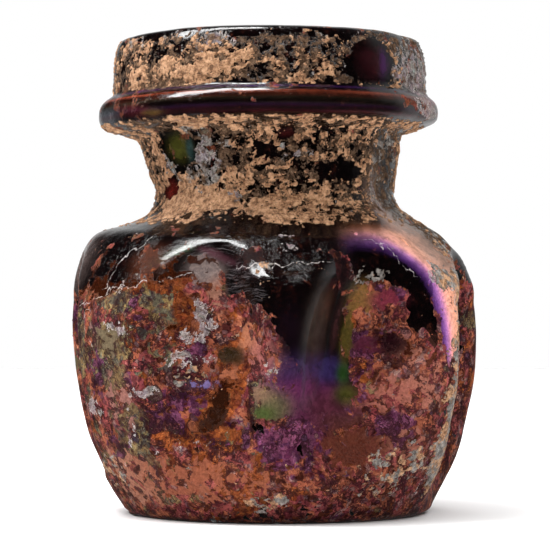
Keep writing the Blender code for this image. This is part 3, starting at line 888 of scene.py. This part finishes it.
def celled(colour, outlines, places, mottle):
    """Round weathering cells laid on the patina, and their rings added to the outlines."""
    for scale, smallest, largest in CELLS:
        cells = node("ShaderNodeTexVoronoi", {"Vector": places, "Scale": scale, "Randomness": 1.0})
        size, presence, hue = channels(cells.outputs["Color"])
        gap = calc("SUBTRACT", lift(size, 0.35, 1.0, smallest, largest), cells.outputs["Distance"])
        present = lift(presence, 0.70, 0.72)
        inside = times(present, lift(gap, -0.01, 0.02))
        tone = ramp(hue, CELL_TONES, "CONSTANT")
        tone = blend(lift(mottle, 0.35, 0.65, 0.6, 0.0), tone, CELL_SPECKS)
        colour = blend(times(inside, CELL_WEIGHT), colour, tone)
        ring = times(present, lift(calc("ABSOLUTE", gap), 0.014, 0.046, 0.9, 0.0))
        outlines = most(outlines, ring)
    return colour, outlines


def scratched(places):
    """Fine hairs of scratches that cross each other at low angles."""
    sets = []
    for angle, scale in SCRATCHES:
        mapping = {"Vector": places, "Rotation": (0.0, angle, 0.0), "Scale": (0.25, 0.25, 4.0)}
        turned = node("ShaderNodeMapping", mapping).outputs[0]
        sets.append(lift(grain(turned, scale, 5.0, 0.7), 0.54, 0.72, 0.0, 0.55))
    return most(*sets)


def weathered_glass():
    """Black glass under a torn copper patina, iridescent film, silver flakes and thin earth."""
    material, tree, shader = new_material("weathered_glass")
    straight = in_millimetres(tree)
    places = shaken(shaken(straight, 0.22, 2.4), 1.4, 0.5, 3.0)
    torn = shaken(places, 0.8, 0.55, 2.0)
    bare_amount, silver_amount, earth_amount = painted(tree, "cover")[:3]
    *hues, scuffed = painted(tree, "hues")
    shade_amount, seam_side, seam_near, sheen = painted(tree, "marks")
    film, film_amount = source(tree, "ShaderNodeVertexColor", layer_name="film").outputs
    mottle = grain(places, 1.9, 7.0, 0.70)
    clouds = fields_of(torn, 0.30, 4.0, 0.58, 7.0)
    patches = fields_of(torn, 0.60, 4.0, 0.58, 23.0)
    islands = fields_of(torn, 0.62, 2.5, 0.50, 41.0)
    islets = fields_of(torn, 1.30, 2.0, 0.50, 43.0)

    # Patina, in broad lighter and darker stretches, with outlines that come and go.
    colour, outlines, rust = flaked(mottle, clouds, patches, islands, islets, hues)
    colour = darkened(colour, lift(grain(places, 0.34, 5.0, 0.62, 51.0), 0.36, 0.64, 0.62, 1.25))
    outlines = times(outlines, lift(grain(places, 0.30, 3.0, 0.5, 45.0), 0.42, 0.56, 0.35, 0.95))
    colour, outlines = celled(colour, outlines, places, mottle)
    colour = blend(outlines, colour, OUTLINE_COLOUR)

    # Worn brown-black stretches, and the film where it lies on the patina.
    shade_edge = layer_edge(shade_amount, grain(places, 0.90, 9.0, 0.76, 5.0), 3.2)
    colour = blend(times(lift(shade_edge, 0.40, 0.90), 0.75), colour, rust)
    worn_thin = lift(shade_edge, 0.60, 1.00)
    colour = blend(times(worn_thin, 0.94), colour, WORN_TINT, "MULTIPLY")
    crisp = lift(layer_edge(film_amount, patches[1], 3.0), 0.46, 0.54, 0.0, 0.78)
    film_share = calc("MULTIPLY_ADD", film_amount, 0.16, times(crisp, lift(film_amount, 0.0, 0.3)))
    colour = blend(film_share, colour, darkened(film, lift(mottle, 0.25, 0.75, 0.60, 1.40)))

    # Bare glass, black with rusty specks, clouded film with its painted sheen, and fine scratches.
    coarse = grain(places, 0.30, 3.0, 0.5, 57.0)
    bare_field = calc("MULTIPLY_ADD", grain(places, 2.0, 5.0, 0.7, 63.0), 0.16, coarse)
    bare = lift(layer_edge(bare_amount, calc("SUBTRACT", bare_field, 0.08), 2.0), 0.48, 0.52)
    glaze = darkened(film, lift(patches[2], 0.36, 0.62, 0.74, 1.20))
    glaze = darkened(glaze, lift(mottle, 0.28, 0.50, 0.60, 1.04))
    glass = blend(film_amount, ramp(grain(places, 0.6, 7.0, 0.74, 71.0), BLACK_GLASS), glaze)
    colour = blend(bare, colour, glass)
    worn = lift(layer_edge(scuffed, grain(places, 0.5, 5.0, 0.6, 15.0), 1.6), 0.40, 0.95, 0.0, 1.0)
    colour = blend(times(scratched(places), worn, bare), colour, SCRATCH_COLOUR)

    # Silver flakes of detached film, with pale rims.
    silver_edge = layer_edge(silver_amount, grain(torn, 0.50, 7.0, 0.68, 83.0), 2.0)
    silver = lift(silver_edge, 0.48, 0.52)
    tint = ramp(patches[0], SILVER_TINTS)
    flakes = blend(1.0, ramp(grain(torn, 1.5, 8.0, 0.76, 91.0), SILVER_TONES), tint, "MULTIPLY")
    colour = blend(times(silver, lift(mottle, 0.35, 0.62, 0.50, 0.95)), colour, flakes)
    silver_rim = lift(away_from(silver_edge, 0.5), 0.3 * SILVER_RIM, SILVER_RIM, 1.0, 0.0)
    silver_rim = times(silver_rim, lift(islets[2], 0.44, 0.56, 0.10, 0.85))
    colour = blend(silver_rim, colour, SILVER_RIM_COLOUR)

    # Pale seams along torn edges, wobbling and broken.
    unsteady = calc("SUBTRACT", grain(straight, 0.7, 4.0, 0.6, 25.0), 0.5)
    wobble = calc("MULTIPLY_ADD", unsteady, 1.6, seam_side)
    seam = lift(calc("ABSOLUTE", wobble), 0.03, 0.11, 1.0, 0.0)
    broken = lift(grain(straight, 0.7, 5.0, 0.75, 27.0), 0.42, 0.56, 0.0, 0.8)
    seam = times(seam, seam_near, broken)
    colour = blend(seam, colour, SEAM_COLOUR)

    # Thin earth, brown and crumbly.
    earth_edge = layer_edge(earth_amount, grain(places, 0.62, 10.0, 0.72, 101.0), 2.2)
    earth = lift(earth_edge, 0.46, 0.56)
    soil = ramp(grain(straight, 1.3, 9.0, 0.80, 113.0), SOIL_TONES)
    fill(shader.inputs["Base Color"], blend(times(earth, 0.92), colour, soil))

    # Bare glass is glossy, and so is patina that has worn thin. All the rest is rough.
    clear = calc("SUBTRACT", 1.0, most(silver, earth, seam))
    smooth = times(most(bare, times(worn_thin, 0.9)), clear)
    scuffs = lift(grain(straight, 2.4, 3.0, 0.5, 9.0), 0.35, 0.70, 0.0, 0.07)
    scuffs = calc("MULTIPLY_ADD", worn, 0.14, scuffs)
    rough = calc("ADD", lift(smooth, 0.0, 1.0, 0.55, 0.03), scuffs)
    fill(shader.inputs["Roughness"], most(rough, times(earth, 0.92)))
    # Where the painted sheen lies on glossy glass, it is also made half metallic.
    fill(shader.inputs["Metallic"], times(sheen, smooth, 0.50))
    fill(shader.inputs["Specular IOR Level"], lift(smooth, 0.0, 1.0, 0.025, 0.50))

    relief = times(bare, -0.030)
    crumbs = times(grain(straight, 2.2, 7.0, 0.75, 19.0), calc("SUBTRACT", 1.0, smooth))
    for layer, height in ((silver, 0.030), (earth, 0.050), (crumbs, 0.07), (outlines, -0.012)):
        relief = calc("MULTIPLY_ADD", layer, height, relief)
    bump = node("ShaderNodeBump", {"Height": relief, "Distance": 0.001, "Strength": 0.8})
    fill(shader.inputs["Normal"], bump.outputs[0])
    shader.inputs["IOR"].default_value = 1.5
    return material


def burial_crust():
    """Peach-tan earth and grey crust, matt and crumbly, dark where it is thin and in its pits."""
    material, tree, shader = new_material("burial_crust")
    places = in_millimetres(tree)
    warped = shaken(places, 0.8, 0.9)
    thick, greyish = painted(tree, "thickness")[:2]
    sand = ramp(grain(warped, 1.0, 9.0, 0.78), SAND_TONES)
    grey = ramp(grain(warped, 1.2, 9.0, 0.74, 29.0), GREY_CRUST_TONES)
    greyness = lift(calc("ADD", greyish, grain(warped, 0.5, 6.0, 0.6, 37.0)), 0.92, 1.02)
    colour = blend(greyness, sand, grey)
    colour = blend(lift(thick, 0.0, 0.30, 0.75, 0.0), colour, THIN_CRUST_COLOUR)
    pits = lift(grain(places, 2.0, 6.0, 0.78, 47.0), 0.55, 0.62)
    fill(shader.inputs["Base Color"], blend(times(pits, 0.80), colour, PIT_COLOUR))
    fill(shader.inputs["Roughness"], lift(grain(places, 1.5, 3.0, 0.5, 53.0), 0.3, 0.7, 0.82, 0.98))
    relief = grain(places, 2.6, 8.0, 0.8, 61.0)
    bump = node("ShaderNodeBump", {"Height": relief, "Distance": 0.00022, "Strength": 0.9})
    fill(shader.inputs["Normal"], bump.outputs[0])
    shader.inputs["Specular IOR Level"].default_value = 0.25
    return material


# ---------------------------------------------------------------- pieces
def build_jar(material):
    """The glass: its inside from the floor up to the lip, its outside and its underside."""
    azimuths = np.arange(COLUMNS) * 360.0 / COLUMNS
    rim_places = even_places(RIM_OUTLINE, 0.0, len(RIM_OUTLINE) - 1.0, ROW_SPACING)[:-1]
    body_places = even_places(BODY_OUTLINE, 0.0, len(BODY_OUTLINE) - 1.0, ROW_SPACING)
    outer = outer_wall(azimuths, rim_places, body_places)
    inner = inner_wall(outer[len(rim_places):], azimuths)
    flat_foot = outer[-1:].copy()
    outer = np.concatenate([weathered(outer)[:-1], flat_foot])
    below = underside(azimuths)
    floor_rings = below[::-1] + np.array((0.0, 0.0, FLOOR))
    scar = np.exp(-(((from_axis(below) - SCAR_RADIUS) / SCAR_WIDTH) ** 2))
    below[..., 2] -= SCAR_HEIGHT * (scar * (SCAR_SHARE + wandering(below, SCAR_LUMPS, 4)))
    shell = np.concatenate([floor_rings, inner, outer, below])

    cover, hues, marks = covers(*torn_places(azimuths[None, :], shell))
    # The film carries the painted sheen, and the sheen's amount rides in the marks as their fourth value.
    film, sheen = film_and_painted_sheen_colours(azimuths[None, :], shell[..., 2])
    marks = np.concatenate([marks, sheen[..., None]], axis=-1)
    inside = slice(0, len(floor_rings) + len(inner))
    bottom = slice(-len(below), None)
    cover[inside] = INSIDE_COVER
    cover[bottom] = UNDERSIDE_COVER
    for values in (film, marks):
        values[inside] = 0.0
        values[bottom] = 0.0

    rows = len(shell)
    faces = band_faces(rows, COLUMNS).tolist()
    middle = rows * COLUMNS
    last = (rows - 1) * COLUMNS
    for column in range(COLUMNS):
        after = (column + 1) % COLUMNS
        faces.append((column, after, middle))
        faces.append((last + after, last + column, middle + 1))
    middles = [(AXIS_X, AXIS_Y, PUSH_UP_HEIGHT + FLOOR), (AXIS_X, AXIS_Y, PUSH_UP_HEIGHT)]
    points = np.concatenate([shell.reshape(-1, 3), middles])
    fields = {}
    for label, values in (("cover", cover), ("hues", hues), ("marks", marks), ("film", film)):
        flat = values.reshape(-1, values.shape[-1])
        fields[label] = np.concatenate([flat, flat[[0, last]]])
    piece = mesh_object("jar_glass", points.tolist(), faces, material, fields)
    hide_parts("jar")
    return piece


def crust_piece(name, material, rim_places, body_places, columns, density, greyness, fine_break):
    """Earth on a stretch of the outside: a skin that comes out of the glass where it is thick."""
    azimuths = np.arange(columns) * 360.0 / columns
    wall = outer_wall(azimuths, rim_places, body_places)
    normals = outward_normals(wall)
    wall = weathered(wall)
    wanted = density(*torn_places(azimuths[None, :], wall))
    streaky = wall * np.array(CRUST_STREAK)
    coarse = COARSE_BREAK * wandering(streaky, COARSE_SIZE, 5, 5.0, 0.6)
    amount = wanted + (coarse + fine_break * wandering(streaky, FINE_SIZE, 4, 17.0, 0.4))
    lumps = 0.5 + 0.5 * wandering(wall, LUMP_SIZE, 3, 29.0)
    rise = CRUST_RISE * (1.0 - np.exp(-CRUST_STEEPNESS * np.maximum(amount, 0.0)))
    height = CRUST_STEP + rise * (CRUST_LEAST + CRUST_LUMPS * lumps)
    points = wall + np.where(amount > 0.0, height, -CRUST_SINK)[..., None] * normals
    faces = band_faces(len(wall), columns)
    faces = faces[(amount.ravel()[faces] > 0.0).any(axis=1)]
    used, renumbered = np.unique(faces, return_inverse=True)
    grey = np.broadcast_to(greyness(azimuths[None, :], wall[..., 2]), amount.shape)
    thickness = np.clip(THICKNESS_GAIN * amount, 0.0, 1.0)
    values = np.stack([thickness, grey, np.zeros_like(amount)], axis=-1)
    points = points.reshape(-1, 3)[used].tolist()
    fields = {"thickness": values.reshape(-1, 3)[used]}
    piece = mesh_object(name, points, renumbered.reshape(faces.shape).tolist(), material, fields)
    return piece


def crust_spots(azimuths, heights):
    """What the places of earth add above the body, and what the clean windows take away."""
    return spots(azimuths, heights, CRUST), 0.9 * spots(azimuths, heights, WINDOWS[1:])


def rim_density(azimuths, heights):
    """Earth on the collar, with none on the lip and little on the flange."""
    base = -0.16 + 0.06 * np.sin(2.0 * np.radians(azimuths) + 0.5)
    base = base - 1.2 * stepped(heights, *LIP_CRUST_END)
    kept = np.clip(spots(azimuths, heights, FLANGE_CRUST), 0.0, 1.0)
    base = base - 1.6 * between(heights, *CRUSTLESS_FLANGE) * (1.0 - kept)
    more, less = crust_spots(azimuths, heights)
    return base + more - less


def neck_density(azimuths, heights):
    """Earth on the neck, from the shoulder to the underside of the flange."""
    base = -0.12 - 1.4 * (1.0 - stepped(heights, *NECK_CRUST_START)) - 1.4 * stepped(heights, *NECK_CRUST_END)
    more, less = crust_spots(azimuths, heights)
    return base + more - less


def body_density(azimuths, heights):
    """Earth on the body, only in its own places."""
    return spots(azimuths, heights, BODY_CRUST) - 0.76 - 0.5 * (1.0 - stepped(heights, *BODY_CRUST_FOOT))


def collar_greyness(azimuths, heights):
    """How grey the collar's earth is: more on the right and by the lip."""
    right = stepped(turned_from(azimuths, 0.0), *COLLAR_GREY_SIDE)
    return 0.22 + 0.35 * right + 0.18 * stepped(heights, *COLLAR_GREY_START)


def neck_greyness(azimuths, heights):
    """How grey the neck's earth is."""
    return 0.22 + 0.40 * spots(azimuths, heights, GREY_ON_NECK)


def body_greyness(azimuths, heights):
    """How grey the body's earth is: a little more on the right."""
    right = stepped(turned_from(azimuths, 0.0), *BODY_GREY_SIDE)
    return 0.46 + 0.02 * right + 0.16 * spots(azimuths, heights, GREY_ON_BODY)


def build_crusts(material):
    """The three stretches of earth, on the collar, the neck and the body."""
    collar = even_places(RIM_OUTLINE, *COLLAR_ROWS, CRUST_SPACING)
    neck = even_places(RIM_OUTLINE, *NECK_ROWS, CRUST_SPACING)[:-1]
    shoulder = even_places(BODY_OUTLINE, *SHOULDER_ROWS, CRUST_SPACING)
    lower = even_places(BODY_OUTLINE, *LOWER_ROWS, BODY_CRUST_SPACING)
    for name, rim_places, body_places, columns, density, greyness, fine_break in (
            ("collar_crust", collar, NO_PLACES, CRUST_COLUMNS, rim_density, collar_greyness, 0.62),
            ("neck_crust", neck, shoulder, CRUST_COLUMNS, neck_density, neck_greyness, 0.66),
            ("body_crust", NO_PLACES, lower, BODY_CRUST_COLUMNS, body_density, body_greyness, 0.40)):
        crust_piece(name, material, rim_places, body_places, columns, density, greyness, fine_break)


# ---------------------------------------------------------------- floor, lights and camera
WINDOW_LIGHT = (-0.42, -0.08, 0.84)
JAR_MIDDLE = (0.0, 0.0, 0.05)
FLOOR_HALF = 1.2
EYE_DISTANCE = 0.4088
EYE_SIDE = 0.00043
EYE_HEIGHT = 0.0325
AIM_HEIGHT = 0.0402
LENS = 157.1


def area_light(name, place, aim, width, height, watts):
    """A soft rectangular light that the camera doesn't see."""
    lamp = bpy.data.lights.new(name, "AREA")
    lamp.shape = "RECTANGLE"
    lamp.size = width
    lamp.size_y = height
    lamp.energy = watts
    holder = bpy.data.objects.new(name, lamp)
    bpy.context.scene.collection.objects.link(holder)
    holder.location = place
    holder.rotation_euler = (Vector(aim) - Vector(place)).to_track_quat("-Z", "Y").to_euler()
    holder.visible_camera = False
    return holder


def build_lights():
    """A window on the left with a taller reflection, and a wide ceiling that isn't mirrored."""
    area_light("key", WINDOW_LIGHT, JAR_MIDDLE, 0.28, 0.60, 9.0)
    glint = area_light("glint", WINDOW_LIGHT, JAR_MIDDLE, 0.30, 0.90, 18.0)
    glint.visible_diffuse = False
    ceiling = area_light("ceiling", (0.0, 0.0, 1.3), (0.0, 0.0, 0.0), 3.0, 3.0, 60.0)
    ceiling.visible_glossy = False


def build_floor():
    """A plain pale floor that doesn't mirror itself in the glass."""
    mesh = bpy.data.meshes.new("floor")
    corners = [(FLOOR_HALF * x, FLOOR_HALF * y, 0.0) for x, y in ((-1, -1), (1, -1), (1, 1), (-1, 1))]
    mesh.from_pydata(corners, [], [(0, 1, 2, 3)])
    floor = bpy.data.objects.new("floor", mesh)
    floor.visible_glossy = False
    bpy.context.scene.collection.objects.link(floor)
    material, _, shader = new_material("floor_paper")
    shader.inputs["Base Color"].default_value = (0.9, 0.9, 0.9, 1.0)
    shader.inputs["Roughness"].default_value = 0.9
    mesh.materials.append(material)


def build_world():
    """White behind the jar, dark in front of it, and plain white for the camera."""
    world = bpy.data.worlds.new("studio")
    bpy.context.scene.world = world
    world.use_nodes = True
    tree = world.node_tree
    room = tree.nodes["Background"]
    room.inputs["Color"].default_value = (1.0, 1.0, 1.0, 1.0)
    direction = source(tree, "ShaderNodeTexCoord").outputs["Generated"]
    rightward, backward, upward = node("ShaderNodeSeparateXYZ", {0: direction}).outputs
    behind = calc("MULTIPLY_ADD", rightward, lift(upward, -0.10, 0.35, 0.15, 0.50), backward)
    behind = calc("MULTIPLY_ADD", calc("MINIMUM", rightward, 0.0), 0.85, behind)
    behind = times(lift(behind, 0.10, 0.80, 0.0, 0.60), lift(upward, 0.74, 0.90, 1.0, 0.0))
    below = lift(upward, -0.75, -0.20, 0.06, 0.0)
    fill(room.inputs["Strength"], calc("ADD", most(behind, below), 0.008))
    backdrop = source(tree, "ShaderNodeBackground")
    backdrop.inputs["Color"].default_value = (1.0, 1.0, 1.0, 1.0)
    backdrop.inputs["Strength"].default_value = 1.0
    seen = source(tree, "ShaderNodeLightPath").outputs["Is Camera Ray"]
    mix = node("ShaderNodeMixShader", {0: seen, 1: room.outputs[0], 2: backdrop.outputs[0]})
    fill(tree.nodes["World Output"].inputs["Surface"], mix.outputs[0])


def build_camera():
    """The camera, a little below the jar's middle and looking slightly up."""
    data = bpy.data.cameras.new("camera")
    data.sensor_width = 36.0
    data.lens = LENS
    data.clip_start = 0.01
    holder = bpy.data.objects.new("camera", data)
    bpy.context.scene.collection.objects.link(holder)
    holder.location = (AXIS_X + EYE_SIDE, AXIS_Y - EYE_DISTANCE, EYE_HEIGHT)
    aim = Vector((AXIS_X + EYE_SIDE, AXIS_Y, AIM_HEIGHT))
    holder.rotation_euler = (aim - holder.location).to_track_quat("-Z", "Y").to_euler()
    bpy.context.scene.camera = holder


build_camera()
build_world()
build_floor()
build_lights()
bpy.context.scene.view_settings.view_transform = "Standard"
build_jar(weathered_glass())
build_crusts(burial_crust())
